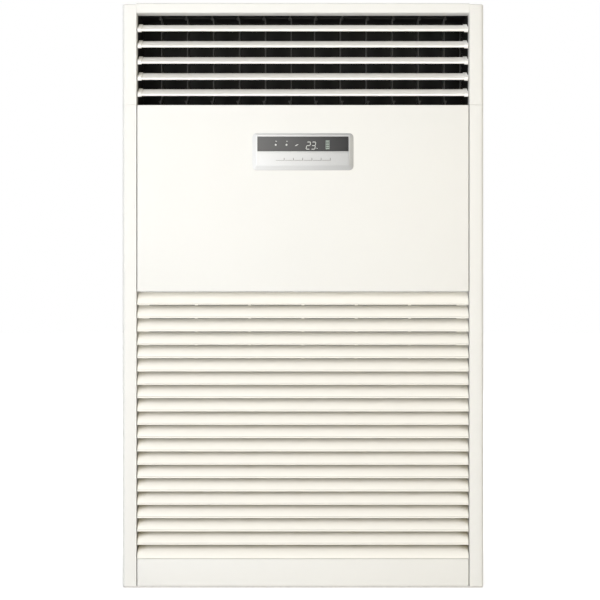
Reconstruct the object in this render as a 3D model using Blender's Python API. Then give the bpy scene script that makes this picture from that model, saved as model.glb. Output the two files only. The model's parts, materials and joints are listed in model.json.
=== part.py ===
"""Floor standing air conditioner: a tall steel cabinet with a louvred intake and a bladed outlet.

Metres, +Z up. The origin lies on the floor under the middle of the cabinet, and the face looks
towards -Y. "Depth" below is measured from the cabinet's face towards its back.
"""

from math import acos, atan2, cos, hypot, pi, sin

import bmesh
import bpy

# Overall size
WIDTH = 1.100
HEIGHT = 1.780
DEPTH = 0.485
BEZEL_PROUD = 0.006
FACE = -DEPTH / 2 + BEZEL_PROUD
BACK = DEPTH / 2
SIDE = WIDTH / 2

# Sheet metal and fits
SHEET = 0.0015
GAP = 0.0003
SEAM = 0.0025
TOE = 0.0055

# Corner posts
POST_WIDTH = 0.043
POST_INNER = SIDE - POST_WIDTH
POST_DEPTH = 0.060
POST_CORNER = 0.011
POST_TOP = HEIGHT - 0.0025
POST_TOP_ROUND = 0.005
REBATE_DEPTH = 0.036
REBATE_WIDTH = 0.014
REVEAL_DEPTH = 0.040

# Levels of the front, from the floor
KICK_TOP = 0.0885
GRILLE_LOW = 0.0895
GRILLE_HIGH = 0.9012
PANEL_LOW = 0.9020
SILL = 1.4695
POST_JOINT = 1.4700
HEADER_LOW = 1.7495
PANEL_HALF = POST_INNER - SEAM
PANEL_DEPTH = REBATE_DEPTH - GAP
EDGE_ROUND = 0.0020

# Top, sides, back and base
LID_LOW = 1.7620
RETURN_WIDTH = 0.018
BACK_SPLIT = 0.900
BEAD_DEPTH = 0.003
BEAD_WIDTH = 0.030
BACK_SKIN = BACK - BEAD_DEPTH
BASE_HEIGHT = 0.045
BASE_WALL = 0.002
BASE_ROUND = 0.004
FOOT_INSET = 0.0015
KNOCKOUT_RADIUS = 0.038
KNOCKOUT_SCORE = 0.0015
KNOCKOUT_SCORE_DEPTH = 0.0008
KNOCKOUT_Y = 0.120
KNOCKOUT_Z = 0.170

# Intake grille
LOUVRES = 20
LOUVRE_PITCH = (GRILLE_HIGH - GRILLE_LOW) / LOUVRES
LOUVRE_SLIT = 0.0008
LOUVRE_LIFT = 0.0009
LIP_EDGE = 0.0007
LIP_ROUND = 0.0048
LIP_THICK = 0.0040
LOUVRE_FACE = 0.0046
LOUVRE_BACK = 0.0310
LOUVRE_THICK = 0.0023
LOUVRE_CURVE = 1.7
LOUVRE_STEPS = 6
GRILLE_BAR_FRONT = 0.0295
GRILLE_BAR_BACK = 0.0340
GRILLE_BAND = 0.0335
GRILLE_RIB = 0.009
GRILLE_RIB_PITCH = 0.1635

# Outlet duct
DUCT_SHEET = 0.002
DUCT_FLOOR = 1.4760
DUCT_CEILING = 1.7590
DUCT_DEPTH = 0.187
DUCT_LIP = 0.030

# Outlet blades, which tilt about X
BLADES = 5
BLADE_PITCH = 0.0493
BLADE_NOSE_LOW = 1.4977
BLADE_NOSE_RADIUS = 0.0035
BLADE_TAIL_RADIUS = 0.0015
BLADE_RUN = 0.037
BLADE_RISE = 0.0216
BLADE_PIVOT_DEPTH = 0.0245
BLADE_HALF = 0.4925
BLADE_END = 0.5035
BLADE_END_PROUD = 0.0025
BLADE_PIN = 0.003
BLADE_PIN_END = 0.5115
BLADE_CRANK = 0.035
BLADE_CRANK_ANGLE = 20 * pi / 180
BLADE_LUG_X = (0.479, 0.482)
BLADE_LINK_X = (0.4835, 0.4865)
BLADE_LINK_HALF = 0.0045
CRANK_PIN = 0.002
CRANK_HOLE = 0.0027

# Outlet vanes, which turn about Z
VANES = 12
VANE_PITCH = 0.080
VANE_PIVOT_DEPTH = 0.064
VANE_OFFSET = 0.004
VANE_FRONT = -0.009
VANE_REAR = 0.050
VANE_FRONT_RADIUS = 0.0015
VANE_REAR_RADIUS = 0.0010
VANE_LOW = 1.4905
VANE_HIGH = 1.7440
VANE_HUB = 0.0055
VANE_PIN = 0.0025
VANE_CRANK = 0.016
VANE_ARM_TOP = 1.7465
VANE_LINK_LOW = 1.7485
VANE_LINK_THICK = 0.003
VANE_LINK_HALF = 0.004
PIN_HOLE = 0.0032
PIN_SIDES = 10

# Air filter and the rail behind the seam over the grille
FILTER_HALF = 0.490
FILTER_LOW = 0.100
FILTER_HIGH = 0.880
FILTER_DEPTH = 0.010
FILTER_FRAME = 0.016
FILTER_BAR = 0.005
RAIL_LOW = 0.884
RAIL_HIGH = 0.918
RAIL_DEPTH = 0.016

# Control panel
CONTROL_HALF = 0.1535
CONTROL_LOW = 1.2708
CONTROL_HIGH = 1.3834
CONTROL_ROUND = 0.012
RIM_ROUND = 0.002
SLOPE_SIDE = 0.0105
SLOPE_LOW = 0.0130
SLOPE_HIGH = 0.0060
POCKET_HALF = 0.1388
POCKET_DEPTH = 0.0040
STRIP_LOW = 1.2858
STRIP_HIGH = 1.3240
WINDOW_LOW = 1.3276
WINDOW_HIGH = 1.3728
BUTTON_COUNT = 6
BUTTON_PITCH = 0.0281
BUTTON_START = -0.0825
BUTTON_GROOVE = 0.0016
BUTTON_LOW = 1.3014
BUTTON_TOP = 1.3092

# Finishes: colour, roughness, metallic
ENAMEL = ((0.93, 0.92, 0.87), 0.35, 0.0)
MOULDING = ((0.93, 0.91, 0.85), 0.40, 0.0)
BLACK = ((0.012, 0.012, 0.011), 0.55, 0.0)
SILVER = ((0.72, 0.73, 0.73), 0.30, 0.6)
DISPLAY = ((0.09, 0.09, 0.095), 0.12, 0.0)
FILTER = ((0.10, 0.10, 0.10), 0.80, 0.0)
GALVANISED = ((0.55, 0.55, 0.54), 0.40, 0.8)
SMOOTH_ANGLE = 35 * pi / 180


# Outlines


def arc(centre, radius, start, end, steps):
    """Points on an arc, both ends included, with its angles in degrees."""
    angles = [(start + (end - start) * i / steps) * pi / 180 for i in range(steps + 1)]
    return [(centre[0] + radius * cos(a), centre[1] + radius * sin(a)) for a in angles]


def circle(centre, radius, steps):
    return arc(centre, radius, 0, 360, steps)[:-1]


def rounded_rectangle(low, high, radius, steps=4):
    outline = []
    corners = ((high[0], high[1], 0), (low[0], high[1], 90), (low[0], low[1], 180), (high[0], low[1], 270))
    for x, y, start in corners:
        inward_x = -radius if x == high[0] else radius
        inward_y = -radius if y == high[1] else radius
        outline += arc((x + inward_x, y + inward_y), radius, start, start + 90, steps)
    return outline


def tapered_bar(tail, head, tail_radius, head_radius, steps=5):
    """Outline round two circles and along their outer tangents."""
    run, rise = head[0] - tail[0], head[1] - tail[1]
    heading = atan2(rise, run)
    spread = acos((tail_radius - head_radius) / hypot(run, rise))
    low, high = (heading - spread) * 180 / pi, (heading + spread) * 180 / pi
    return arc(head, head_radius, low, high, steps) + arc(tail, tail_radius, high, low + 360, 2 * steps)


def folded(path, thickness=SHEET):
    """Outline of a bent sheet: the path, and its offset to the left run back again."""
    inside = []
    for i, point in enumerate(path):
        normals = []
        for start, end in zip(path[max(i - 1, 0) : i + 1], path[max(i, 1) : i + 2]):
            run, rise = end[0] - start[0], end[1] - start[1]
            normals.append((-rise / hypot(run, rise), run / hypot(run, rise)))
        across = sum(n[0] for n in normals) / len(normals)
        along = sum(n[1] for n in normals) / len(normals)
        mitre = thickness / (across**2 + along**2)
        inside.append((point[0] + across * mitre, point[1] + along * mitre))
    return path + inside[::-1]


# Solids


def loft(loops):
    """A closed solid through loops of equal length, capped at both ends."""
    shape = bmesh.new()
    rings = [[shape.verts.new(point) for point in loop] for loop in loops]
    for near, far in zip(rings, rings[1:]):
        for i in range(len(near)):
            shape.faces.new((near[i - 1], near[i], far[i], far[i - 1]))
    shape.faces.new(rings[0])
    shape.faces.new(rings[-1])
    bmesh.ops.recalc_face_normals(shape, faces=shape.faces)
    return shape


def lifted(outline, axis, level):
    """The outline's points in space, in the plane where the axis has this level."""
    place = {"x": lambda p: (level, *p), "y": lambda p: (p[0], level, p[1]), "z": lambda p: (*p, level)}[axis]
    return [place(point) for point in outline]


def prism(outline, axis, low, high):
    return loft([lifted(outline, axis, low), lifted(outline, axis, high)])


def box(low, high):
    outline = [(low[0], low[1]), (high[0], low[1]), (high[0], high[1]), (low[0], high[1])]
    return prism(outline, "z", low[2], high[2])


def together(shapes):
    """One mesh of several shapes, which may overlap until they are fused."""
    whole = bmesh.new()
    for shape in shapes:
        part = bpy.data.meshes.new("part")
        shape.to_mesh(part)
        shape.free()
        whole.from_mesh(part)
        bpy.data.meshes.remove(part)
    return whole


def mirrored(shape):
    for vertex in shape.verts:
        vertex.co.x = -vertex.co.x
    bmesh.ops.reverse_faces(shape, faces=shape.faces)
    return shape


def as_mesh(name, shape):
    mesh = bpy.data.meshes.new(name)
    shape.to_mesh(mesh)
    shape.free()
    mesh.shade_smooth()
    mesh.set_sharp_from_angle(angle=SMOOTH_ANGLE)
    return mesh


def add(name, mesh, finish, place=(0, 0, 0)):
    """A node of the cabinet, with a material of its own."""
    node = bpy.data.objects.new(name, mesh)
    node.location = place
    bpy.context.collection.objects.link(node)
    colour, roughness, metallic = finish
    material = bpy.data.materials.new(name)
    material.use_nodes = True
    shader = material.node_tree.nodes["Principled BSDF"]
    shader.inputs["Base Color"].default_value = (*colour, 1)
    shader.inputs["Roughness"].default_value = roughness
    shader.inputs["Metallic"].default_value = metallic
    material.diffuse_color = (*colour, 1)
    if not mesh.materials:
        mesh.materials.append(None)
    node.material_slots[0].link = "OBJECT"
    node.material_slots[0].material = material
    return node


def cut(node, shape):
    """Takes the shape out of the node with a hidden cutter."""
    cutter = bpy.data.objects.new(node.name + "_cutter", as_mesh(node.name + "_cutter", shape))
    cutter.hide_render = True
    cutter.display_type = "WIRE"
    bpy.context.collection.objects.link(cutter)
    modifier = node.modifiers.new("cut", "BOOLEAN")
    modifier.operation = "DIFFERENCE"
    modifier.object = cutter


def fused(name, first, others):
    """The union of overlapping shapes as one mesh."""
    base = bpy.data.objects.new(name, as_mesh(name, first))
    rest = bpy.data.objects.new(name, as_mesh(name, together(others)))
    bpy.context.collection.objects.link(base)
    bpy.context.collection.objects.link(rest)
    modifier = base.modifiers.new("fuse", "BOOLEAN")
    modifier.operation = "UNION"
    modifier.use_self = True
    modifier.object = rest
    mesh = bpy.data.meshes.new_from_object(base.evaluated_get(bpy.context.evaluated_depsgraph_get()))
    mesh.name = name
    bpy.data.objects.remove(base)
    bpy.data.objects.remove(rest)
    return mesh


def tray(name, finish, low, high, open_side, wall=SHEET, radius=EDGE_ROUND):
    """A folded sheet with returns on four sides, open towards the given direction."""
    shape = box(low, high)
    shape.faces.ensure_lookup_table()
    mouth = max(shape.faces, key=lambda face: sum(n * o for n, o in zip(face.normal, open_side)))
    bmesh.ops.delete(shape, geom=[mouth], context="FACES_ONLY")
    folds = [edge for edge in shape.edges if not edge.is_boundary]
    bmesh.ops.bevel(shape, geom=folds, offset=radius, segments=3, profile=0.5, affect="EDGES")
    node = add(name, as_mesh(name, shape), finish)
    modifier = node.modifiers.new("sheet", "SOLIDIFY")
    modifier.thickness = wall
    modifier.offset = -1
    modifier.use_even_offset = True
    return node


# Cabinet


def base_pan():
    """A pan, open on top, on a foot that shows as a narrow plinth under the posts and panels."""
    foot = ((-SIDE + FOOT_INSET, FACE + FOOT_INSET), (SIDE - FOOT_INSET, BACK_SKIN - FOOT_INSET))
    low = (-SIDE + RETURN_WIDTH + GAP, FACE + REBATE_DEPTH + SHEET + GAP)
    high = (SIDE - RETURN_WIDTH - GAP, BACK_SKIN - SHEET - GAP)
    inner = ((low[0] + BASE_WALL, low[1] + BASE_WALL), (high[0] - BASE_WALL, high[1] - BASE_WALL))
    loops = []
    for corners, radius, level in (
        (foot, POST_CORNER - FOOT_INSET, 0),
        (foot, POST_CORNER - FOOT_INSET, TOE - GAP),
        ((low, high), BASE_ROUND, TOE - GAP),
        ((low, high), BASE_ROUND, BASE_HEIGHT),
        (inner, BASE_ROUND - BASE_WALL, BASE_HEIGHT),
        (inner, BASE_ROUND - BASE_WALL, BASE_WALL),
    ):
        loops.append(lifted(rounded_rectangle(*corners, radius), "z", level))
    add("base_pan", as_mesh("base_pan", loft(loops)), GALVANISED)


def side_panels():
    for name, sign in (("left_side_panel", -1), ("right_side_panel", 1)):
        ends = sorted((sign * (SIDE - RETURN_WIDTH), sign * SIDE))
        low = (ends[0], FACE + POST_DEPTH + GAP, TOE)
        high = (ends[1], BACK_SKIN - SHEET - GAP, LID_LOW)
        panel = tray(name, ENAMEL, low, high, (-sign, 0, 0))
        cut(panel, knockout_score(sign))


def knockout_score(sign):
    """The scored ring round a pipe knock-out, low in a side panel."""
    centre = (KNOCKOUT_Y, KNOCKOUT_Z)
    depths = sorted((sign * (SIDE - KNOCKOUT_SCORE_DEPTH), sign * (SIDE + SHEET)))
    outer = circle(centre, KNOCKOUT_RADIUS, 32)
    inner = circle(centre, KNOCKOUT_RADIUS - KNOCKOUT_SCORE, 32)
    ring = bmesh.new()
    loops = [
        [ring.verts.new(point) for point in lifted(outline, "x", level)]
        for outline, level in ((outer, depths[0]), (outer, depths[1]), (inner, depths[1]), (inner, depths[0]))
    ]
    for near, far in zip(loops, loops[1:] + loops[:1]):
        for i in range(len(near)):
            ring.faces.new((near[i - 1], near[i], far[i], far[i - 1]))
    bmesh.ops.recalc_face_normals(ring, faces=ring.faces)
    return ring


def back_panels():
    """Two sheets with three stiffening beads each, pressed outwards."""
    for name, low, high in (
        ("back_panel_lower", TOE, BACK_SPLIT - GAP),
        ("back_panel_upper", BACK_SPLIT + GAP, LID_LOW),
    ):
        path = [(BACK_SKIN, low)]
        for share in (0.2, 0.5, 0.8):
            middle = low + share * (high - low)
            path += [
                (BACK_SKIN, middle - BEAD_WIDTH / 2),
                (BACK, middle - BEAD_WIDTH / 2 + BEAD_DEPTH),
                (BACK, middle + BEAD_WIDTH / 2 - BEAD_DEPTH),
                (BACK_SKIN, middle + BEAD_WIDTH / 2),
            ]
        path.append((BACK_SKIN, high))
        shape = prism(folded(path), "x", -SIDE + GAP, SIDE - GAP)
        add(name, as_mesh(name, shape), ENAMEL)


def top_panel():
    low = (-SIDE, FACE + POST_DEPTH + GAP, LID_LOW + GAP)
    tray("top_panel", ENAMEL, low, (SIDE, BACK_SKIN, HEIGHT), (0, 0, -1))


def top_header():
    low_round, high_round = 0.0025, 0.005
    path = [(FACE + POST_DEPTH, HEIGHT)]
    path += arc((FACE + high_round, HEIGHT - high_round), high_round, 90, 180, 4)
    path += arc((FACE + low_round, HEADER_LOW + low_round), low_round, 180, 270, 3)
    path.append((FACE + REVEAL_DEPTH, HEADER_LOW))
    shape = prism(folded(path), "x", -POST_INNER + GAP, POST_INNER - GAP)
    add("top_header", as_mesh("top_header", shape), ENAMEL)


def post_outline(shrink, inner, rear):
    """A corner post from above: square at its inner and rear sides, round at its outer front."""
    radius = POST_CORNER - shrink
    corner = arc((SIDE - shrink - radius, FACE + shrink + radius), radius, -90, 0, 6)
    return [(inner, rear), (inner, FACE + shrink)] + corner + [(SIDE - shrink, rear)]


def lower_posts():
    rebate = FACE + REBATE_DEPTH
    path = [(POST_INNER - REBATE_WIDTH, rebate), (POST_INNER, rebate), (POST_INNER, FACE)]
    path += arc((SIDE - POST_CORNER, FACE + POST_CORNER), POST_CORNER, -90, 0, 6)
    path.append((SIDE, FACE + POST_DEPTH))
    for name, turn in (("left_lower_post", mirrored), ("right_lower_post", lambda shape: shape)):
        shape = turn(prism(folded(path), "z", TOE, POST_JOINT - GAP))
        add(name, as_mesh(name, shape), ENAMEL)


def upper_posts():
    """Hollow posts beside the outlet, closed on top, with five pin holes in their inner walls."""
    rear = FACE + POST_DEPTH
    steps = 4
    levels = [(POST_JOINT + GAP, 0.0), (POST_TOP - POST_TOP_ROUND, 0.0)]
    for i in range(1, steps + 1):
        angle = i / steps * pi / 2
        rise = POST_TOP_ROUND * sin(angle)
        levels.append((POST_TOP - POST_TOP_ROUND + rise, POST_TOP_ROUND * (1 - cos(angle))))
    for name, turn in (("left_upper_post", mirrored), ("right_upper_post", lambda shape: shape)):
        outside = loft([lifted(post_outline(shrink, POST_INNER, rear), "z", z) for z, shrink in levels])
        post = add(name, as_mesh(name, turn(outside)), ENAMEL)
        hollow = post_outline(SHEET, POST_INNER + SHEET, rear + SHEET)
        inner_low, inner_high = POST_JOINT - SHEET, POST_TOP - 2 * SHEET
        cut(post, turn(prism(hollow, "z", inner_low, inner_high)))
        slot_low = (POST_INNER - SHEET, FACE + REVEAL_DEPTH, inner_low)
        slot_high = (POST_INNER + 2 * SHEET, rear + SHEET, inner_high)
        cut(post, turn(box(slot_low, slot_high)))
        holes = []
        for k in range(BLADES):
            outline = circle(blade_pivot(k), BLADE_PIN + 2 * GAP, PIN_SIDES)
            holes.append(prism(outline, "x", POST_INNER - SHEET, POST_INNER + 2 * SHEET))
        cut(post, turn(together(holes)))


def front_panels():
    for name, low, high in (("kick_panel", TOE, KICK_TOP), ("front_panel", PANEL_LOW, SILL)):
        corner = (PANEL_HALF, FACE + PANEL_DEPTH, high)
        tray(name, ENAMEL, (-PANEL_HALF, FACE, low), corner, (0, 1, 0))


def seam_rail():
    """The rail behind the seam between the grille and the front panel."""
    front = FACE + REBATE_DEPTH
    back = front + RAIL_DEPTH
    path = [(back, RAIL_HIGH), (front, RAIL_HIGH), (front, RAIL_LOW), (back, RAIL_LOW)]
    half = POST_INNER - REBATE_WIDTH - GAP
    add("seam_rail", as_mesh("seam_rail", prism(folded(path), "x", -half, half)), GALVANISED)


# Intake


def louvre_outline(number):
    """One louvre from the side: a rounded lip, and a hollow face that leans back more as it rises.

    The lowest louvre has no lip, because its edge lies flush with the kick panel below it.
    """
    level = GRILLE_LOW + number * LOUVRE_PITCH
    edge = LOUVRE_LIFT + LIP_EDGE
    start, top = edge + LIP_ROUND, LOUVRE_PITCH - LOUVRE_SLIT
    if number:
        lip = [(LIP_THICK, LOUVRE_LIFT)]
        lip += arc((LIP_EDGE, edge), LIP_EDGE, 270, 180, 2)
        lip += arc((LIP_ROUND, edge), LIP_ROUND, 165, 100, 4)
        shoulder = LOUVRE_FACE
    else:
        lip = [(LOUVRE_FACE + LOUVRE_THICK, 0), (0, 0), (0, edge)]
        shoulder = LOUVRE_THICK
    face = []
    for i in range(1, LOUVRE_STEPS + 1):
        share = i / LOUVRE_STEPS
        lean = share**LOUVRE_CURVE
        face.append((shoulder + lean * (LOUVRE_BACK - shoulder), start + share * (top - start)))
    under = [(depth + LOUVRE_THICK, rise - LOUVRE_THICK / 2) for depth, rise in face[::-2]]
    return [(FACE + depth, level + rise) for depth, rise in lip + face + under]


def intake_grille():
    """Twenty louvres on five ribs, two end bands and two rails, moulded as one piece."""
    louvres = [prism(louvre_outline(i), "x", -PANEL_HALF, PANEL_HALF) for i in range(LOUVRES)]
    front, back = FACE + GRILLE_BAR_FRONT, FACE + GRILLE_BAR_BACK
    inset = 0.0005
    low, high = GRILLE_LOW + inset, GRILLE_HIGH - inset
    bars = []
    for i in range(-2, 3):
        middle = i * GRILLE_RIB_PITCH
        bars.append(box((middle - GRILLE_RIB / 2, front, low), (middle + GRILLE_RIB / 2, back, high)))
    for sign in (-1, 1):
        ends = sorted((sign * (PANEL_HALF - inset), sign * (PANEL_HALF - GRILLE_BAND)))
        bars.append(box((ends[0], front, low), (ends[1], back, high)))
    rail_half = PANEL_HALF - 2 * inset
    rail = 0.020
    for start in (low + inset, high - inset - rail):
        bars.append(box((-rail_half, front + inset, start), (rail_half, back - inset, start + rail)))
    add("intake_grille", fused("intake_grille", together(louvres), bars), MOULDING)


def air_filter():
    """A framed filter sheet with bars on both sides of the sheet, held behind the grille."""
    front = FACE + GRILLE_BAR_BACK + GAP
    back = front + FILTER_DEPTH
    middle = (front + back) / 2
    sheet_half = FILTER_HALF - FILTER_FRAME / 2
    sheet_low, sheet_high = FILTER_LOW + FILTER_FRAME / 2, FILTER_HIGH - FILTER_FRAME / 2
    sheet = box((-sheet_half, middle - 0.0006, sheet_low), (sheet_half, middle + 0.0006, sheet_high))
    bars = []
    for sign in (-1, 1):
        ends = sorted((sign * FILTER_HALF, sign * (FILTER_HALF - FILTER_FRAME)))
        bars.append(box((ends[0], front, FILTER_LOW), (ends[1], back, FILTER_HIGH)))
    thin = 0.0004
    for start in (FILTER_LOW + thin, FILTER_HIGH - FILTER_FRAME - thin):
        low = (-FILTER_HALF + thin, front + thin, start)
        bars.append(box(low, (FILTER_HALF - thin, back - thin, start + FILTER_FRAME)))
    inner = 2 * thin
    for i in range(-2, 3):
        x = i * FILTER_HALF / 3
        low = (x - FILTER_BAR / 2, front + inner, FILTER_LOW + inner)
        bars.append(box(low, (x + FILTER_BAR / 2, back - inner, FILTER_HIGH - inner)))
    for i in range(1, 4):
        z = FILTER_LOW + i * (FILTER_HIGH - FILTER_LOW) / 4
        low = (-FILTER_HALF + inner, front + 2 * inner, z - FILTER_BAR / 2)
        bars.append(box(low, (FILTER_HALF - inner, back - 2 * inner, z + FILTER_BAR / 2)))
    add("air_filter", fused("air_filter", sheet, bars), FILTER)


# Outlet duct


def vane_pivot(i):
    """Plan position of a vane's pivot, from the left."""
    return ((i - (VANES - 1) / 2) * VANE_PITCH, FACE + VANE_PIVOT_DEPTH)


def vane_pin_holes(low, high):
    return together([prism(circle(vane_pivot(i), PIN_HOLE, PIN_SIDES), "z", low, high) for i in range(VANES)])


def duct():
    half = POST_INNER - GAP
    rear = FACE + DUCT_DEPTH
    lip = FACE + REBATE_DEPTH + SHEET + GAP
    low = DUCT_FLOOR - DUCT_SHEET
    path = [(lip, low - DUCT_LIP), (lip, DUCT_FLOOR), (rear, DUCT_FLOOR)]
    floor_outline = folded(path[::-1], DUCT_SHEET)
    floor = add("duct_floor", as_mesh("duct_floor", prism(floor_outline, "x", -half, half)), BLACK)
    cut(floor, vane_pin_holes(low - DUCT_SHEET, DUCT_FLOOR + DUCT_SHEET))

    start = FACE + REVEAL_DEPTH + GAP
    top = DUCT_CEILING + SHEET
    shape = box((-half, start, DUCT_CEILING), (half, rear, top))
    ceiling = add("duct_ceiling", as_mesh("duct_ceiling", shape), BLACK)
    cut(ceiling, vane_pin_holes(DUCT_CEILING - SHEET, top + SHEET))

    back = box((-half, rear - DUCT_SHEET, DUCT_FLOOR + GAP), (half, rear, DUCT_CEILING - GAP))
    add("duct_back", as_mesh("duct_back", back), BLACK)
    for name, sign in (("duct_left_wall", -1), ("duct_right_wall", 1)):
        ends = sorted((sign * POST_INNER, sign * (POST_INNER + DUCT_SHEET)))
        wall = box((ends[0], start, low), (ends[1], rear, top))
        add(name, as_mesh(name, wall), BLACK)


# Outlet blades


def blade_pivot(k):
    """Depth line and height of a blade's pivot, from the lowest blade up."""
    height = BLADE_NOSE_LOW + BLADE_NOSE_RADIUS + BLADE_RISE / 2
    return (FACE + BLADE_PIVOT_DEPTH, height + k * BLADE_PITCH)


def blade_outline(proud=0.0):
    nose, tail = (-BLADE_RUN / 2, -BLADE_RISE / 2), (BLADE_RUN / 2, BLADE_RISE / 2)
    return tapered_bar(nose, tail, BLADE_NOSE_RADIUS + proud, BLADE_TAIL_RADIUS + proud)


def crank_point():
    return (BLADE_CRANK * cos(BLADE_CRANK_ANGLE), BLADE_CRANK * sin(BLADE_CRANK_ANGLE))


def blades():
    """Five tapered blades with end caps and pivot pins, and a crank lug near the right end."""
    bite = 0.0005
    details = []
    for sign in (-1, 1):
        cap = sorted((sign * (BLADE_HALF - bite), sign * BLADE_END))
        pin = sorted((sign * (BLADE_END - bite), sign * BLADE_PIN_END))
        details.append(prism(blade_outline(BLADE_END_PROUD), "x", *cap))
        details.append(prism(circle((0, 0), BLADE_PIN, PIN_SIDES), "x", *pin))
    lug_start = (BLADE_RUN * 0.2, BLADE_RISE * 0.2)
    details.append(prism(tapered_bar(lug_start, crank_point(), 0.0036, 0.0035), "x", *BLADE_LUG_X))
    crank_pin = circle(crank_point(), CRANK_PIN, PIN_SIDES)
    details.append(prism(crank_pin, "x", BLADE_LUG_X[1] - bite, BLADE_LINK_X[1] + 0.002))
    mesh = fused("blade", prism(blade_outline(), "x", -BLADE_HALF, BLADE_HALF), details)
    for k in range(BLADES):
        add(f"blade_{k + 1}", mesh, MOULDING, (0, *blade_pivot(k)))


def blade_link():
    """The bar that ties the five cranks, with its origin on the middle crank pin."""
    middle = BLADES // 2
    reach = middle * BLADE_PITCH
    ends = ((0, -reach), (0, reach))
    shape = prism(tapered_bar(*ends, BLADE_LINK_HALF + 1e-5, BLADE_LINK_HALF), "x", *BLADE_LINK_X)
    y, z = blade_pivot(middle)
    crank_y, crank_z = crank_point()
    place = (0, y + crank_y, z + crank_z)
    link = add("blade_link", as_mesh("blade_link", shape), BLACK, place)
    holes = []
    for k in range(BLADES):
        outline = circle((place[1], place[2] + (k - middle) * BLADE_PITCH), CRANK_HOLE, PIN_SIDES)
        holes.append(prism(outline, "x", BLADE_LINK_X[0] - 0.001, BLADE_LINK_X[1] + 0.001))
    cut(link, together(holes))


# Outlet vanes


def vane_shape():
    """A vane of the right half: its plate stands beside the pivot, nearer the middle of the duct."""
    front = (-VANE_OFFSET, VANE_FRONT + VANE_FRONT_RADIUS)
    rear = (-VANE_OFFSET, VANE_REAR - VANE_REAR_RADIUS)
    plate = prism(tapered_bar(front, rear, VANE_FRONT_RADIUS, VANE_REAR_RADIUS, 2), "z", VANE_LOW, VANE_HIGH)
    bite = 0.001
    arm = tapered_bar((0, 0), (0, VANE_CRANK), VANE_HUB, 0.0045, 3)
    details = [
        prism(circle((0, 0), VANE_HUB, PIN_SIDES), "z", VANE_LOW - 0.003, VANE_LOW + bite),
        prism(circle((0, 0), VANE_PIN, PIN_SIDES), "z", DUCT_FLOOR - DUCT_SHEET, VANE_LOW - bite),
        prism(arm, "z", VANE_HIGH - bite, VANE_ARM_TOP),
        prism(circle((0, 0), VANE_PIN, PIN_SIDES), "z", VANE_ARM_TOP - bite, DUCT_CEILING + SHEET + GAP),
        prism(circle((0, VANE_CRANK), CRANK_PIN, PIN_SIDES), "z", VANE_ARM_TOP - bite, VANE_LINK_LOW + 0.006),
    ]
    return plate, details


def vanes():
    plate, details = vane_shape()
    right = fused("right_vane", plate, details)
    copy = bmesh.new()
    copy.from_mesh(right)
    left = as_mesh("left_vane", mirrored(copy))
    for i in range(VANES):
        x, y = vane_pivot(i)
        add(f"vane_{i + 1:02d}", left if x < 0 else right, BLACK, (x, y, 0))


def vane_link():
    """The bar that ties the twelve cranks, with its origin on the crank pin of the lead vane."""
    lead = VANES // 2
    lead_x, y = vane_pivot(lead)
    place = (lead_x, y + VANE_CRANK, 0)
    reach = (VANES - 1) / 2 * VANE_PITCH
    ends = ((-reach - lead_x, 0), (reach - lead_x, 0))
    top = VANE_LINK_LOW + VANE_LINK_THICK
    shape = prism(tapered_bar(*ends, VANE_LINK_HALF + 1e-5, VANE_LINK_HALF), "z", VANE_LINK_LOW, top)
    link = add("vane_link", as_mesh("vane_link", shape), BLACK, place)
    holes = []
    for i in range(VANES):
        outline = circle((vane_pivot(i)[0], place[1]), CRANK_HOLE, PIN_SIDES)
        holes.append(prism(outline, "z", VANE_LINK_LOW - 0.001, top + 0.001))
    cut(link, together(holes))


# Control panel


def control_bezel():
    """A frame with wide sloping edges, and a pocket each for the window and the button strip."""
    seat = FACE - GAP
    rim = FACE - BEZEL_PROUD
    loops = []
    for level, share in ((seat, 0.0), (seat - 0.0015, 0.0), (rim + 0.0008, 0.88), (rim, 1.0)):
        low = (-CONTROL_HALF + share * SLOPE_SIDE, CONTROL_LOW + share * SLOPE_LOW)
        high = (CONTROL_HALF - share * SLOPE_SIDE, CONTROL_HIGH - share * SLOPE_HIGH)
        radius = CONTROL_ROUND - share * (CONTROL_ROUND - RIM_ROUND)
        loops.append(lifted(rounded_rectangle(low, high, radius), "y", level))
    bezel = add("control_bezel", as_mesh("control_bezel", loft(loops)), SILVER)
    pockets = []
    for low, high in ((STRIP_LOW, STRIP_HIGH), (WINDOW_LOW, WINDOW_HIGH)):
        outline = rounded_rectangle((-POCKET_HALF, low), (POCKET_HALF, high), 0.001)
        pockets.append(prism(outline, "y", rim - 0.001, rim + POCKET_DEPTH))
    cut(bezel, together(pockets))


def display_window():
    rim = FACE - BEZEL_PROUD
    low, high = (-POCKET_HALF + GAP, WINDOW_LOW + GAP), (POCKET_HALF - GAP, WINDOW_HIGH - GAP)
    outline = rounded_rectangle(low, high, 0.0008)
    shape = prism(outline, "y", rim + 0.0004, rim + POCKET_DEPTH - GAP)
    add("display_window", as_mesh("display_window", shape), DISPLAY)


def button_strip():
    """The plate under the window, with a row of six low key pads."""
    rim = FACE - BEZEL_PROUD
    low, high = (-POCKET_HALF + GAP, STRIP_LOW + GAP), (POCKET_HALF - GAP, STRIP_HIGH - GAP)
    plate = prism(rounded_rectangle(low, high, 0.0008), "y", rim + 0.0008, rim + POCKET_DEPTH - GAP)
    pads = []
    for i in range(BUTTON_COUNT):
        start = BUTTON_START + i * BUTTON_PITCH
        end = start + BUTTON_PITCH - BUTTON_GROOVE
        outline = rounded_rectangle((start, BUTTON_LOW), (end, BUTTON_TOP), 0.0012, 2)
        pads.append(prism(outline, "y", rim + 0.0004, rim + 0.0020))
    add("button_strip", fused("button_strip", plate, pads), SILVER)


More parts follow.
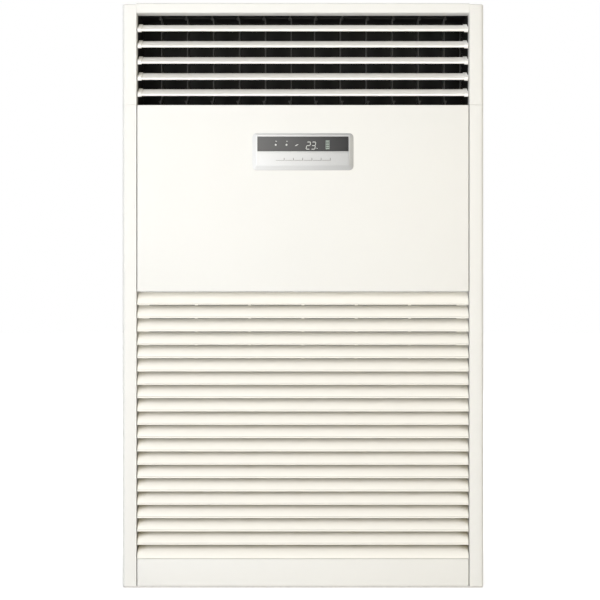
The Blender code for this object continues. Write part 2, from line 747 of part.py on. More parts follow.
def build():
    for old in list(bpy.data.objects):
        bpy.data.objects.remove(old)
    base_pan()
    side_panels()
    back_panels()
    top_panel()
    top_header()
    lower_posts()
    upper_posts()
    front_panels()
    seam_rail()
    intake_grille()
    air_filter()
    duct()
    blades()
    blade_link()
    vanes()
    vane_link()
    control_bezel()
    display_window()
    button_strip()


build()
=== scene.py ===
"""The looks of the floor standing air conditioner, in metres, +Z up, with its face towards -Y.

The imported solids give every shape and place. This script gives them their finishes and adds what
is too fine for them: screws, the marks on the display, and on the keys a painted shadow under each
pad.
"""

import json
from math import cos, pi, radians, sin, tan

import bmesh
import bpy
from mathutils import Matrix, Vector


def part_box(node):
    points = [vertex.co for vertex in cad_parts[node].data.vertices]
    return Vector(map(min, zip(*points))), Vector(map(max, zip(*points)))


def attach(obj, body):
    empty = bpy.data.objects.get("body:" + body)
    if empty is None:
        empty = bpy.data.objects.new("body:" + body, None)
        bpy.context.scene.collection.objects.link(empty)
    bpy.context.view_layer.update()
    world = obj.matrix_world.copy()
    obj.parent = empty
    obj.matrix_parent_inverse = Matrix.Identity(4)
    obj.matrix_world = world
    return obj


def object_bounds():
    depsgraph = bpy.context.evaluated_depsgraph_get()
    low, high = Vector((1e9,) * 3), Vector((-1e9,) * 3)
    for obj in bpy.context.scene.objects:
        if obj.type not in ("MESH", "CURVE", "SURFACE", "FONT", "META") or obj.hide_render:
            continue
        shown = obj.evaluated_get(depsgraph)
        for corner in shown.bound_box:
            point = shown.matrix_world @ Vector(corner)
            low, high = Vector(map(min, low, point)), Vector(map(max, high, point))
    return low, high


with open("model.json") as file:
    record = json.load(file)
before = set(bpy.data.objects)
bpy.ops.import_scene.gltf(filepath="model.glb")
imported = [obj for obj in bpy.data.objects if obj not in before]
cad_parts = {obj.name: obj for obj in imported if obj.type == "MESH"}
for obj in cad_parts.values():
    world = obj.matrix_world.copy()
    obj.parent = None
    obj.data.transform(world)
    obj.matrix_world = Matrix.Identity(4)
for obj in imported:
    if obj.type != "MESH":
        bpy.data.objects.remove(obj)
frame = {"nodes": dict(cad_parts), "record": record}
cad_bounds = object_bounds()

# The photograph's camera
CAMERA_PLACE = (-0.009, -4.2365, 0.876)
LENS = 78.87
SENSOR = 36.0

# Studio lamps: place, power, size and colour
NEUTRAL = (1.0, 1.0, 1.0)
WARM = (1.0, 0.885, 0.62)
LAMPS = {
    "key": ((-3.4, -8.0, 4.4), 244.0, 3.6, NEUTRAL),
    "low": ((-2.4, -5.4, 0.5), 127.0, 2.2, NEUTRAL),
    "high": ((-2.6, -5.6, 6.6), 130.0, 3.6, NEUTRAL),
    "fill": ((3.6, -8.3, 1.5), 124.0, 3.4, WARM),
    "side": ((7.5, -4.0, 3.4), 88.0, 3.6, WARM),
    "bounce": ((0.0, -2.6, 0.06), 15.0, 2.6, NEUTRAL),
    "rear": ((2.6, 7.4, 3.2), 260.0, 3.6, NEUTRAL),
}
AIM = (0.0, -0.24, 0.95)

# Studio surroundings: the floor's shade as it is lit, and its shade and glow as it is seen
AMBIENT = 0.08
FLOOR_SIZE = 60.0
FLOOR_CELLS = 4
FLOOR_SHADE = 0.88
SEEN_SHADE = 0.4
GLOW_NEAR = 0.80
GLOW_REACH = 0.14

# Tones of each finish, as the two ends of its pattern
ENAMEL = ((0.755, 0.757, 0.745), (0.775, 0.777, 0.765))
GRILLE_IVORY = ((0.852, 0.838, 0.795), (0.872, 0.858, 0.817))
BLADE_WHITE = ((0.965, 0.955, 0.93), (0.98, 0.97, 0.95))
BARE_STEEL = ((0.47, 0.48, 0.48), (0.63, 0.64, 0.64))
FOOT_COAT = ((0.56, 0.55, 0.54), (0.60, 0.59, 0.58))
FILTER_CLOTH = ((0.012, 0.012, 0.012), (0.055, 0.055, 0.056))
DUCT_BLACK = ((0.013, 0.013, 0.012), (0.020, 0.020, 0.0185))
VANE_BLACK = ((0.032, 0.032, 0.031), (0.046, 0.046, 0.044))
# The silver's tones at its two ends: a painted reflection, bright at the left and dim at the right
SILVER_PAINTED_BRIGHT_LEFT = ((0.60, 0.607, 0.615), (0.66, 0.667, 0.675))
SILVER_PAINTED_DIM_RIGHT = ((0.355, 0.36, 0.368), (0.405, 0.41, 0.418))
# The window's tones at its left and right ends: the smoke, with a painted reflection lighter at the
# left
SMOKE_AND_PAINTED_REFLECTION = ((0.122, 0.122, 0.124), (0.014, 0.014, 0.015))
# Grey of the key marks, a painted shadow below each key pad
KEY_MARK_GREY = ((0.16, 0.16, 0.16), (0.22, 0.22, 0.22))
ZINC = ((0.50, 0.50, 0.49), (0.68, 0.68, 0.66))

# Plain tones
FLOOR_DUST = (0.55, 0.52, 0.46)
# Painted shade of the grille's creases, a warm dark tone
CREASE_PAINTED_SHADE = (0.31, 0.27, 0.17)
LUG_BLACK = (0.014, 0.014, 0.013)
LINK_BLACK = (0.010, 0.010, 0.0095)

# Lit tones of the display with their strength, and the share of it between the grains
LIT_WHITE = ((0.55, 0.56, 0.54), 0.12)
LIT_PALE = ((0.66, 0.67, 0.66), 0.20)
LIT_GREEN = ((0.30, 0.36, 0.32), 0.12)
LIT_DIM = 0.8

# Places, sizes and shares inside the finishes
NOISE_RUN = (0.3, 0.7)
STEEL_METALLIC = 0.85
DUST_HEIGHT = 0.05
DUST_SHARE = 0.10
# Painted shade in the grille's creases: how far it looks for nearby surfaces, its run over their
# openness, and its share at the grille's top
CREASE_REACH = 0.032
CREASE_RUN = (0.40, 0.735)
CREASE_SHADE_TOP_SHARE = 0.12
OUTLET_MARGIN = 0.15
LUG_REACH = 0.0165
LINK_MARGIN = 0.002
THREAD_PITCH = 0.0016
THREAD_RUN = (-0.2, 1.0)

# Fine details
LIFT = 0.00015
MERGE = 1e-5
SMOOTH_ANGLE = radians(35)
EDGE_RADIUS = 0.0005

# Printed and lit marks: their thickness, and how far they are drawn in at shares of it
MARK_THICK = 0.00025
MARK_PROFILE = ((0.0, 0.0), (0.7, 0.0), (1.0, 0.06))

# Digits of the display: place of their left edge across, and lit segments
DIGITS = ((0.0095, "abged"), (0.0252, "abgcd"))
DIGIT_WIDE = 0.0108
DIGIT_HIGH = 0.0218
DIGIT_DROP = 0.005
DIGIT_SLANT = tan(radians(8))
SEGMENT = 0.0022
SEGMENT_GAP = 0.15 * SEGMENT

# Round marks of the display: place across, height over its foot, radius, corners, stretch, tilt
ICONS = (
    (-0.0828, 0.0195, 0.0028, 16, 1.0, 0),
    (-0.0816, 0.0303, 0.0009, 12, 2.8, -18),
    (-0.0500, 0.0195, 0.0028, 16, 1.0, 0),
    (-0.0488, 0.0303, 0.0009, 12, 2.8, -18),
    (-0.0192, 0.0187, 0.0011, 12, 5.0, 24),
    (0.0430, 0.0088, 0.0010, 12, 1.8, -40),
)

# Level bars of the display, in their frame
GAUGE_LEFT = 0.0688
GAUGE_RIGHT = 0.0808
GAUGE_FOOT = 0.0062
GAUGE_HEAD = 0.0118
GAUGE_LINE = 0.0009
BARS = 5
BAR_INSET = 0.0017
BAR_FOOT = 0.0014
BAR_HEAD = 0.0008

# Marks of the keys, from the cabinet's middle, the foot of the button strip and each key's edges
KEYS = 6
KEYS_START = -0.0825
KEY_PITCH = 0.0281
KEY_GROOVE = 0.0016
KEY_FOOT = 0.0153
KEY_HEAD = 0.0231
KEY_PROUD = 0.0004
# Painted shadow below each key pad: where it starts and ends under the pad's foot
PAD_SHADOW_LOW = 0.0016
PAD_SHADOW_HIGH = 0.0006
TICK_LEFT = 0.0022
TICK_RIGHT = 0.0002
TICK_FOOT = 0.0002
TICK_HEAD = 0.0012

# Screws: profiles as shares of their radius and height, from the rim to the floor of the cross
SCREW_RADIUS = 0.0046
SCREW_POINTS = 24
HEAD_PROFILE = ((1.0, 0.0), (1.0, 0.25), (0.92, 0.62), (0.78, 0.88), (0.68, 1.0))
CROSS_PROFILE = ((1.0, 1.0), (0.72, 0.3))
CROSS_REACH = 0.58
CROSS_HALF = 0.15

# Places of the screws on the back sheets and the sides
BACK_SCREW_HEIGHT = 0.0021
BACK_BEAD_DEPTH = 0.003
BACK_EDGE = 0.009
BACK_ROWS = 4
BACK_ROW_MARGIN = 0.035
BACK_TOP_PLACES = (-0.27, 0.0, 0.27)
BACK_TOP_MARGIN = 0.012
SIDE_SCREW_HEIGHT = 0.0006
SIDE_EDGE = 0.03
SIDE_LEVELS = (0.022, 0.60, 1.18, 1.735)


# Node tree helpers


def feed(tree, socket, value):
    """Gives a socket a value of its own, or a link from another socket."""
    if isinstance(value, bpy.types.NodeSocket):
        tree.links.new(value, socket)
    else:
        socket.default_value = value


def node(tree, kind, settings=None, **inputs):
    """A shader node with its settings, and its inputs as values or as links from other sockets."""
    made = tree.nodes.new("ShaderNode" + kind)
    for name, value in (settings or {}).items():
        setattr(made, name, value)
    for name, value in inputs.items():
        feed(tree, made.inputs[name.replace("_", " ")], value)
    return made


def place(tree):
    """A point's position on the object, which moves with the piece."""
    return node(tree, "TexCoord").outputs["Object"]


def noise(tree, scale, detail, stretch=(1, 1, 1)):
    """A noise pattern that stays on the object, squeezed along an axis by its stretch."""
    where = node(tree, "Mapping", Vector=place(tree), Scale=stretch).outputs["Vector"]
    return node(tree, "TexNoise", Vector=where, Scale=scale, Detail=detail).outputs["Fac"]


def between(tree, value, low, high, start=0.0, end=1.0):
    """The value's run from low to high, mapped to a run from start to end."""
    ends = {"From_Min": low, "From_Max": high, "To_Min": start, "To_Max": end}
    return node(tree, "MapRange", Value=value, **ends).outputs["Result"]


def calculate(tree, operation, first, second=0.0):
    """One step of arithmetic on numbers or sockets."""
    made = node(tree, "Math", {"operation": operation})
    feed(tree, made.inputs[0], first)
    feed(tree, made.inputs[1], second)
    return made.outputs["Value"]


def blended(tree, share, first, second):
    """A colour between two others, each given as a colour or as a socket."""
    made = node(tree, "Mix", {"data_type": "RGBA"})
    tree.links.new(share, made.inputs["Factor"])
    for name, value in (("A", first), ("B", second)):
        socket = next(s for s in made.inputs if s.name == name and s.type == "RGBA")
        feed(tree, socket, (*value, 1) if isinstance(value, tuple) else value)
    return next(s for s in made.outputs if s.type == "RGBA")


def along(tree, axis):
    """One coordinate of a point's position."""
    return node(tree, "SeparateXYZ", Vector=place(tree)).outputs[axis]


def new_finish(name, **values):
    """A Principled material: returns it with its tree and its shader."""
    material = bpy.data.materials.new(name)
    material.use_nodes = True
    tree = material.node_tree
    shader = tree.nodes["Principled BSDF"]
    for socket, value in values.items():
        shader.inputs[socket.replace("_", " ")].default_value = value
    return material, tree, shader


def relief(tree, shader, height, distance, edges=True):
    """Bump from a height, over edges that are softened as a moulding's or a coat of enamel's are."""
    bump = node(tree, "Bump", Height=height, Distance=distance)
    if edges:
        soft = node(tree, "Bevel", {"samples": 4}, Radius=EDGE_RADIUS)
        tree.links.new(soft.outputs["Normal"], bump.inputs["Normal"])
    tree.links.new(bump.outputs["Normal"], shader.inputs["Normal"])


def set_colour(tree, shader, colour):
    tree.links.new(colour, shader.inputs["Base Color"])


def set_roughness(tree, shader, pattern, low, high, run=NOISE_RUN):
    """Roughness from low to high, as the pattern goes through its run."""
    tree.links.new(between(tree, pattern, *run, low, high), shader.inputs["Roughness"])


# Finishes


def enamel():
    """Baked ivory enamel on steel, with a faint orange peel and a little dust near the floor."""
    material, tree, shader = new_finish("cabinet_white", IOR=1.45, Specular_IOR_Level=0.4)
    cloud = noise(tree, 2.5, 3.0)
    tone = blended(tree, cloud, *ENAMEL)
    darkening = between(tree, along(tree, "Z"), 0.0, DUST_HEIGHT, DUST_SHARE, 0.0)
    soiled = calculate(tree, "MULTIPLY", darkening, noise(tree, 38.0, 4.0))
    set_colour(tree, shader, blended(tree, soiled, tone, FLOOR_DUST))
    set_roughness(tree, shader, noise(tree, 9.0, 4.0), 0.44, 0.52)
    relief(tree, shader, noise(tree, 420.0, 1.0), 0.00004)
    return material


def moulding():
    """Satin ivory plastic with a fine spark-eroded grain: the grille warmer, the blades whiter.

    The grille's creases are darkened with a warm painted shade, deeper in the lower rows. Behind the
    blades' rear edges only their crank lugs reach, and those are painted black.
    """
    material, tree, shader = new_finish("moulded_white", IOR=1.45, Specular_IOR_Level=0.4)
    cloud = noise(tree, 3.0, 3.0, (1, 1, 4))
    clean = blended(tree, cloud, *GRILLE_IVORY)
    # Painted shade: where little is open around a point in the grille's creases, the colour darkens,
    # more so in the lower rows
    openness = node(tree, "AmbientOcclusion", {"samples": 8}, Distance=CREASE_REACH).outputs["AO"]
    grille_low, grille_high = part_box("intake_grille")
    crease_shade = between(tree, openness, *CREASE_RUN, 1.0, 0.0)
    shade_by_height = between(tree, along(tree, "Z"), grille_low.z, grille_high.z, 1.0, CREASE_SHADE_TOP_SHARE)
    darkening = calculate(tree, "MULTIPLY", crease_shade, shade_by_height)
    grille = blended(tree, darkening, clean, CREASE_PAINTED_SHADE)
    blade = blended(tree, cloud, *BLADE_WHITE)
    blade_low, blade_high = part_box("blade_3")
    in_outlet = calculate(tree, "GREATER_THAN", along(tree, "Z"), blade_low.z - OUTLET_MARGIN)
    behind = calculate(tree, "GREATER_THAN", along(tree, "Y"), blade_high.y - LUG_REACH)
    lug = calculate(tree, "MULTIPLY", in_outlet, behind)
    tone = blended(tree, in_outlet, grille, blade)
    set_colour(tree, shader, blended(tree, lug, tone, LUG_BLACK))
    set_roughness(tree, shader, noise(tree, 60.0, 3.0), 0.44, 0.54)
    relief(tree, shader, noise(tree, 1500.0, 2.0), 0.00003)
    return material


def galvanised():
    """Galvanised steel with its spangle, and a matt grey coat on the foot below the panels."""
    material, tree, shader = new_finish("galvanised_steel")
    spangle = node(tree, "TexVoronoi", Vector=place(tree), Scale=85.0).outputs["Color"]
    flake = node(tree, "SeparateXYZ", Vector=spangle).outputs["X"]
    bare = blended(tree, flake, *BARE_STEEL)
    foot = calculate(tree, "LESS_THAN", along(tree, "Z"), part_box("kick_panel")[0].z)
    coat = blended(tree, flake, *FOOT_COAT)
    set_colour(tree, shader, blended(tree, foot, bare, coat))
    metallic = between(tree, foot, 0.0, 1.0, STEEL_METALLIC, 0.0)
    tree.links.new(metallic, shader.inputs["Metallic"])
    set_roughness(tree, shader, flake, 0.32, 0.52, run=(0.0, 1.0))
    relief(tree, shader, noise(tree, 240.0, 2.0), 0.00004)
    return material


def filter_mesh():
    """Woven filter cloth in a dark frame: a fine grid of threads over darker gaps."""
    material, tree, shader = new_finish("filter_dark", Roughness=0.75)
    waves = []
    for axis in ("X", "Z"):
        angle = calculate(tree, "MULTIPLY", along(tree, axis), 2 * pi / THREAD_PITCH)
        waves.append(between(tree, calculate(tree, "SINE", angle), *THREAD_RUN))
    weave = calculate(tree, "MAXIMUM", *waves)
    set_colour(tree, shader, blended(tree, weave, *FILTER_CLOTH))
    relief(tree, shader, weave, 0.0002, edges=False)
    return material


def matt_black():
    """Matt black lining, a little cloudy."""
    material, tree, shader = new_finish("duct_black", Specular_IOR_Level=0.25)
    cloud = noise(tree, 14.0, 4.0)
    set_colour(tree, shader, blended(tree, cloud, *DUCT_BLACK))
    set_roughness(tree, shader, cloud, 0.72, 0.88)
    relief(tree, shader, noise(tree, 900.0, 2.0), 0.00006, edges=False)
    return material


def satin_black():
    """Satin black plastic, deeper on the bar that links the blades at their right ends."""
    material, tree, shader = new_finish("vane_black")
    cloud = noise(tree, 30.0, 3.0)
    tone = blended(tree, cloud, *VANE_BLACK)
    link_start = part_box("blade_link")[0].x - LINK_MARGIN
    link = calculate(tree, "GREATER_THAN", along(tree, "X"), link_start)
    set_colour(tree, shader, blended(tree, link, tone, LINK_BLACK))
    set_roughness(tree, shader, cloud, 0.40, 0.55)
    relief(tree, shader, noise(tree, 1300.0, 2.0), 0.00003)
    return material


def silver():
    """Silver painted plastic: fine metal flakes under a thin clear coat.

    A painted reflection makes it bright at its left end and dimmer towards its right.
    """
    coat = {"Coat_Weight": 0.12, "Coat_Roughness": 0.3}
    material, tree, shader = new_finish("bezel_silver", Metallic=0.28, **coat)
    flake = node(tree, "TexVoronoi", Vector=place(tree), Scale=2600.0).outputs["Color"]
    glint = node(tree, "SeparateXYZ", Vector=flake).outputs["X"]
    low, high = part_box("control_bezel")
    # Painted reflection: from bright at the bezel's left end to dim at its right end
    share = between(tree, along(tree, "X"), low.x, high.x)
    left = blended(tree, glint, *SILVER_PAINTED_BRIGHT_LEFT)
    right = blended(tree, glint, *SILVER_PAINTED_DIM_RIGHT)
    set_colour(tree, shader, blended(tree, share, left, right))
    set_roughness(tree, shader, glint, 0.40, 0.50, run=(0.0, 1.0))
    relief(tree, shader, noise(tree, 1800.0, 1.0), 0.00001)
    return material


def smoked_window():
    """Smoked acrylic, with faint wiping marks in its gloss.

    A painted reflection lightens it towards its left end.
    """
    material, tree, shader = new_finish("display_dark", IOR=1.49)
    low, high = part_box("display_window")
    share = between(tree, along(tree, "X"), low.x, high.x)
    # Painted reflection: lighter at the window's left end, darker at its right
    set_colour(tree, shader, blended(tree, share, *SMOKE_AND_PAINTED_REFLECTION))
    wiped = noise(tree, 45.0, 5.0, (1, 1, 6))
    set_roughness(tree, shader, wiped, 0.16, 0.26)
    relief(tree, shader, noise(tree, 30.0, 1.0), 0.00002)
    return material


def lit(name, colour, strength):
    """A lit mark of the display, with a fine grain in its light."""
    material, tree, shader = new_finish(name, Roughness=0.5)
    dim = tuple(LIT_DIM * part for part in colour)
    tone = blended(tree, noise(tree, 700.0, 2.0), dim, colour)
    set_colour(tree, shader, tone)
    tree.links.new(tone, shader.inputs["Emission Color"])
    shader.inputs["Emission Strength"].default_value = strength
    return material


def key_marks_grey():
    """Matt grey of the key marks, which paint the shadow below each key pad."""
    material, tree, shader = new_finish("key_marks_grey", Roughness=0.6)
    grain = noise(tree, 900.0, 2.0)
    set_colour(tree, shader, blended(tree, grain, *KEY_MARK_GREY))
    relief(tree, shader, grain, 0.00001, edges=False)
    return material


def zinc():
    """Zinc plating of the screws, brighter and duller in small clouds."""
    material, tree, shader = new_finish("zinc", Metallic=1.0)
    cloud = noise(tree, 160.0, 3.0)
    set_colour(tree, shader, blended(tree, cloud, *ZINC))
    set_roughness(tree, shader, cloud, 0.28, 0.46)
    relief(tree, shader, noise(tree, 2200.0, 2.0), 0.00002, edges=False)
    return material


def smooth_shading():
    """A geometry group that joins split corners and shades smooth all but the sharp edges."""
    group = bpy.data.node_groups.new("smooth_shading", "GeometryNodeTree")
    group.interface.new_socket("Geometry", in_out="INPUT", socket_type="NodeSocketGeometry")
    group.interface.new_socket("Geometry", in_out="OUTPUT", socket_type="NodeSocketGeometry")
    start = group.nodes.new("NodeGroupInput")
    bare = group.nodes.new("GeometryNodeRemoveAttribute")
    bare.inputs["Name"].default_value = "custom_normal"
    merged = group.nodes.new("GeometryNodeMergeByDistance")
    merged.inputs["Distance"].default_value = MERGE
    faces = group.nodes.new("GeometryNodeSetShadeSmooth")
    angle = group.nodes.new("GeometryNodeInputMeshEdgeAngle")
    shallow = group.nodes.new("FunctionNodeCompare")
    shallow.operation = "LESS_THAN"
    shallow.inputs["B"].default_value = SMOOTH_ANGLE
    edges = group.nodes.new("GeometryNodeSetShadeSmooth")
    edges.domain = "EDGE"
    end = group.nodes.new("NodeGroupOutput")
    links = group.links
    links.new(start.outputs[0], bare.inputs["Geometry"])
    links.new(bare.outputs["Geometry"], merged.inputs["Geometry"])
    links.new(merged.outputs["Geometry"], faces.inputs["Geometry"])
    links.new(faces.outputs["Geometry"], edges.inputs["Geometry"])
    links.new(angle.outputs["Unsigned Angle"], shallow.inputs["A"])
    links.new(shallow.outputs["Result"], edges.inputs["Shade Smooth"])
    links.new(edges.outputs["Geometry"], end.inputs[0])
    return group


def dress_nodes(finishes):
    """Gives each CAD node its slot's finish and smooth shading."""
    shading = smooth_shading()
    slots = {part["node"]: part["material_slot"] for part in frame["record"]["subparts"]}
    for name, body in frame["nodes"].items():
        for slot in body.material_slots:
            slot.material = finishes[slots[name]]
        modifier = body.modifiers.new("smooth_shading", "NODES")
        modifier.node_group = shading


# Pieces


def add_object(name, data):
    """A new object in the scene."""
    made = bpy.data.objects.new(name, data)
    bpy.context.scene.collection.objects.link(made)
    return made


def add_piece(name, shape, material):
    """A piece of the cabinet made from a shape, with its material."""
    mesh = bpy.data.meshes.new(name)
    bmesh.ops.recalc_face_normals(shape, faces=shape.faces)
    shape.to_mesh(mesh)
    shape.free()
    mesh.shade_smooth()
    mesh.set_sharp_from_angle(angle=SMOOTH_ANGLE)
    mesh.materials.append(material)
    piece = add_object(name, mesh)
    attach(piece, "cabinet")


def loft(shape, loops):
    """Adds a skin through loops of equal length to the shape, closed at its ends."""
    rings = [[shape.verts.new(point) for point in loop] for loop in loops]
    for near, far in zip(rings, rings[1:]):
        for i in range(len(near)):
            shape.faces.new((near[i - 1], near[i], far[i], far[i - 1]))
    shape.faces.new(rings[0])
    shape.faces.new(rings[-1][::-1])


def mark(shape, outline, level):
    """A thin raised mark on the face at this level, with its edge drawn in a little."""
    middle = sum((Vector(point) for point in outline), Vector((0, 0))) / len(outline)
    loops = []
    for share, shrink in MARK_PROFILE:
        front = level - LIFT - share * MARK_THICK
        points = [Vector(point).lerp(middle, shrink) for point in outline]
        loops.append([(point.x, front, point.y) for point in points])
    loft(shape, loops)


def circle(centre, radius, steps, stretch, tilt):
    """A circle that is stretched across and then tilted, in radians."""
    points = []
    for i in range(steps):
        angle = 2 * pi * i / steps
        x, z = radius * cos(angle) * stretch, radius * sin(angle)
        across = x * cos(tilt) - z * sin(tilt)
        up = x * sin(tilt) + z * cos(tilt)
        points.append((centre[0] + across, centre[1] + up))
    return points


def rectangle(low, high):
    """The corners of a rectangle between two opposite ones."""
    return [(low[0], low[1]), (high[0], low[1]), (high[0], high[1]), (low[0], high[1])]


# Display


def segment_outline(letter):
    """A pointed bar of a seven segment digit, in the digit's own frame."""
    ends = {
        "a": ((0, 1), (1, 1)),
        "b": ((1, 0.5), (1, 1)),
        "c": ((1, 0), (1, 0.5)),
        "d": ((0, 0), (1, 0)),
        "e": ((0, 0), (0, 0.5)),
        "g": ((0, 0.5), (1, 0.5)),
    }[letter]
    start, end = (Vector((x * DIGIT_WIDE, z * DIGIT_HIGH)) for x, z in ends)
    run = (end - start).normalized()
    across = Vector((-run.y, run.x)) * SEGMENT / 2
    start += run * SEGMENT_GAP
    end -= run * SEGMENT_GAP
    near, far = start + run * SEGMENT / 2, end - run * SEGMENT / 2
    outline = (start, near - across, far - across, end, far + across, near + across)
    return [(point.x + point.y * DIGIT_SLANT, point.y) for point in outline]


def display_digits(low, high):
    """The set temperature, as two slanted digits."""
    shape = bmesh.new()
    foot = (low.z + high.z) / 2 - DIGIT_DROP - DIGIT_HIGH / 2
    for start, segments in DIGITS:
        for letter in segments:
            mark(shape, [(start + x, foot + z) for x, z in segment_outline(letter)], low.y)
    add_piece("display_digits", shape, lit("lit_white", *LIT_WHITE))


def display_icons(low):
    """Two lamps with a dash over each, a slanted dash, and the degree mark."""
    shape = bmesh.new()
    for x, rise, radius, corners, stretch, tilt in ICONS:
        outline = circle((x, low.z + rise), radius, corners, stretch, radians(tilt))
        mark(shape, outline, low.y)
    add_piece("display_icons", shape, lit("lit_icons", *LIT_PALE))


def display_level_bar(low, high):
    """The air flow indicator: five short bars, one over the other, in a thin frame."""
    shape = bmesh.new()
    start, end = low.z + GAUGE_FOOT, high.z - GAUGE_HEAD
    pitch = (end - start) / BARS
    for i in range(BARS):
        foot = (GAUGE_LEFT + BAR_INSET, start + i * pitch + BAR_FOOT)
        head = (GAUGE_RIGHT - BAR_INSET, start + (i + 1) * pitch - BAR_HEAD)
        mark(shape, rectangle(foot, head), low.y)
    left, right = GAUGE_LEFT + GAUGE_LINE, GAUGE_RIGHT - GAUGE_LINE
    for corner, other in (
        ((GAUGE_LEFT, start), (left, end)),
        ((right, start), (GAUGE_RIGHT, end)),
        ((left, start), (right, start + GAUGE_LINE)),
        ((left, end - GAUGE_LINE), (right, end)),
    ):
        mark(shape, rectangle(corner, other), low.y)
    add_piece("display_level_bar", shape, lit("lit_green", *LIT_GREEN))


def key_marks():
    """A painted shadow in grey below each key pad, with a short grey tick at its right end."""
    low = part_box("button_strip")[0]
    base, top = low.z + KEY_FOOT, low.z + KEY_HEAD
    shape = bmesh.new()
    for i in range(KEYS):
        left = KEYS_START + i * KEY_PITCH
        right = left + KEY_PITCH - KEY_GROOVE
        # Painted shadow under the key pad
        pad_shadow = rectangle((left, base - PAD_SHADOW_LOW), (right, base - PAD_SHADOW_HIGH))
        mark(shape, pad_shadow, low.y + KEY_PROUD)
        tick = rectangle((right - TICK_LEFT, base - TICK_FOOT), (right - TICK_RIGHT, top - TICK_HEAD))
        mark(shape, tick, low.y)
    add_piece("key_marks", shape, key_marks_grey())


# Screws


def cross_outline():
    """A cross with a point on each of 24 rays, in step with the rings of a screw head."""
    reach, half = CROSS_REACH, CROSS_HALF
    middle = (reach + half) / 2
    quarter = [(reach, -half), (reach, 0), (reach, half), (middle, half), (half, half), (half, middle)]
    points = []
    for turn in range(4):
        angle = turn * pi / 2
        for x, y in quarter:
            points.append((x * cos(angle) - y * sin(angle), x * sin(angle) + y * cos(angle)))
    return points


def screw(shape, point, outward, height):
    """A cross-headed screw with a head of this height on the surface at the point."""
    turn = Vector((0, 0, 1)).rotation_difference(Vector(outward)).to_matrix()
    angles = [2 * pi * (i - 1) / SCREW_POINTS for i in range(SCREW_POINTS)]
    ring = [(cos(angle), sin(angle)) for angle in angles]
    loops = []
    for outline, profile in ((ring, HEAD_PROFILE), (cross_outline(), CROSS_PROFILE)):
        for share, rise in profile:
            radius = share * SCREW_RADIUS
            local = [Vector((x * radius, y * radius, rise * height)) for x, y in outline]
            loops.append([Vector(point) + turn @ corner for corner in local])
    loft(shape, loops)


def back_screws():
    """Screws of the two back sheets, down both edges and along the top of each."""
    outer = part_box("back_panel_lower")[1]
    skin = outer.y - BACK_BEAD_DEPTH
    edge = outer.x - BACK_EDGE
    shape = bmesh.new()
    for name in ("back_panel_lower", "back_panel_upper"):
        low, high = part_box(name)
        pitch = (high.z - low.z - 2 * BACK_ROW_MARGIN) / (BACK_ROWS - 1)
        levels = [low.z + BACK_ROW_MARGIN + i * pitch for i in range(BACK_ROWS)]
        places = [(x, z) for z in levels for x in (-edge, edge)]
        places += [(x, high.z - BACK_TOP_MARGIN) for x in BACK_TOP_PLACES]
        for x, z in places:
            screw(shape, (x, skin, z), (0, 1, 0), BACK_SCREW_HEIGHT)
    add_piece("back_screws", shape, zinc())


def side_screws():
    """Screws of the two side panels, down their front and rear edges."""
    for side, sign in (("left_side", -1), ("right_side", 1)):
        low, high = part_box(side + "_panel")
        face = low.x if sign < 0 else high.x
        shape = bmesh.new()
        for y in (low.y + SIDE_EDGE, high.y - SIDE_EDGE):
            for z in SIDE_LEVELS:
                screw(shape, (face, y, z), (sign, 0, 0), SIDE_SCREW_HEIGHT)
        add_piece(side + "_screws", shape, zinc())


# Studio


def ray_share(tree):
    """One for camera, glossy and transmitted rays, which see the white surroundings."""
    path = node(tree, "LightPath")
    seen = calculate(tree, "MAXIMUM", path.outputs["Is Camera Ray"], path.outputs["Is Glossy Ray"])
    return calculate(tree, "MAXIMUM", seen, path.outputs["Is Transmission Ray"])


def mixed(tree, share, first, second):
    """A shader between two others."""
    made = node(tree, "MixShader")
    for socket, output in zip(made.inputs, (share, first, second)):
        tree.links.new(output, socket)
    return made.outputs[0]


def surroundings():
    """A world that looks white and lights the object only a little."""
    world = bpy.data.worlds.new("studio")
    bpy.context.scene.world = world
    world.use_nodes = True
    tree = world.node_tree
    tree.nodes.clear()
    dim = node(tree, "Background", Color=(1, 1, 1, 1), Strength=AMBIENT)
    white = node(tree, "Background", Color=(1, 1, 1, 1), Strength=1.0)
    node(tree, "OutputWorld", Surface=mixed(tree, ray_share(tree), dim.outputs[0], white.outputs[0]))


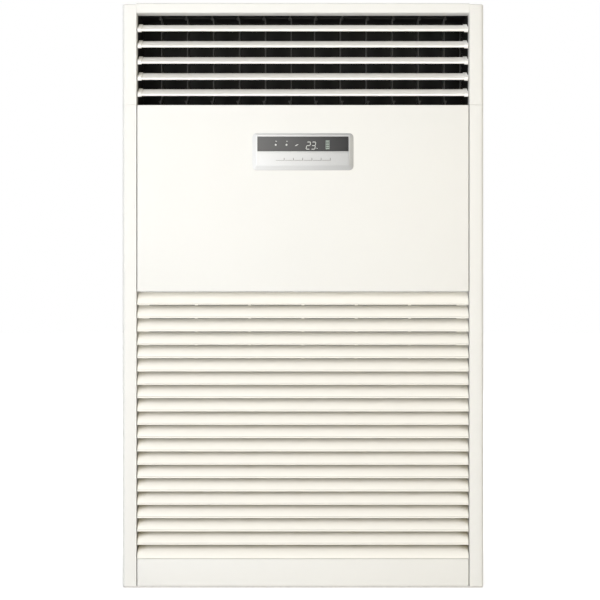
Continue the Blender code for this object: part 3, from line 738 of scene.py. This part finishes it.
def studio_floor():
    """A floor that keeps the object's shadow, and looks white a little way from its foot."""
    shape = bmesh.new()
    cells = {"x_segments": FLOOR_CELLS, "y_segments": FLOOR_CELLS}
    bmesh.ops.create_grid(shape, size=FLOOR_SIZE / 2, **cells)
    mesh = bpy.data.meshes.new("studio_floor")
    shape.to_mesh(mesh)
    shape.free()
    floor = add_object("studio_floor", mesh)
    material = bpy.data.materials.new("studio_floor")
    material.use_nodes = True
    tree = material.node_tree
    tree.nodes.clear()
    plain = node(tree, "BsdfDiffuse", Color=(FLOOR_SHADE, FLOOR_SHADE, FLOOR_SHADE, 1))
    pale = node(tree, "BsdfDiffuse", Color=(SEEN_SHADE, SEEN_SHADE, SEEN_SHADE, 1))
    beside = []
    for axis, half in (("X", cad_bounds[1][0]), ("Y", cad_bounds[1][1])):
        away = calculate(tree, "ABSOLUTE", along(tree, axis))
        beside.append(calculate(tree, "SUBTRACT", away, half))
    reach = calculate(tree, "MAXIMUM", *beside)
    strength = between(tree, reach, 0.0, GLOW_REACH, GLOW_NEAR, 1.0)
    glow = node(tree, "Emission", Color=(1, 1, 1, 1), Strength=strength)
    seen = node(tree, "AddShader")
    tree.links.new(pale.outputs[0], seen.inputs[0])
    tree.links.new(glow.outputs[0], seen.inputs[1])
    surface = mixed(tree, ray_share(tree), plain.outputs[0], seen.outputs[0])
    node(tree, "OutputMaterial", Surface=surface)
    mesh.materials.append(material)


def lamps():
    """The studio's square lamps, all turned towards the object."""
    for name, (point, power, size, colour) in LAMPS.items():
        light = bpy.data.lights.new(name, "AREA")
        light.energy = power
        light.size = size
        light.color = colour
        lamp = add_object(name, light)
        lamp.location = point
        toward = Vector(AIM) - Vector(point)
        lamp.rotation_euler = toward.to_track_quat("-Z", "Y").to_euler()


def camera():
    """The photograph's view: level, from the front."""
    lens = bpy.data.cameras.new("camera")
    lens.lens = LENS
    lens.sensor_width = SENSOR
    lens.sensor_fit = "HORIZONTAL"
    made = add_object("camera", lens)
    made.location = CAMERA_PLACE
    made.rotation_euler = (pi / 2, 0, 0)
    bpy.context.scene.camera = made


def main():
    """Sets up the studio, dresses the solids and adds the fine pieces."""
    bpy.context.scene.view_settings.view_transform = "Standard"
    camera()
    lamps()
    surroundings()
    studio_floor()
    dress_nodes({
        "cabinet_white": enamel(),
        "moulded_white": moulding(),
        "galvanised_steel": galvanised(),
        "filter_dark": filter_mesh(),
        "duct_black": matt_black(),
        "vane_black": satin_black(),
        "bezel_silver": silver(),
        "display_dark": smoked_window(),
    })
    low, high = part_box("display_window")
    display_digits(low, high)
    display_icons(low)
    display_level_bar(low, high)
    key_marks()
    back_screws()
    side_screws()


main()
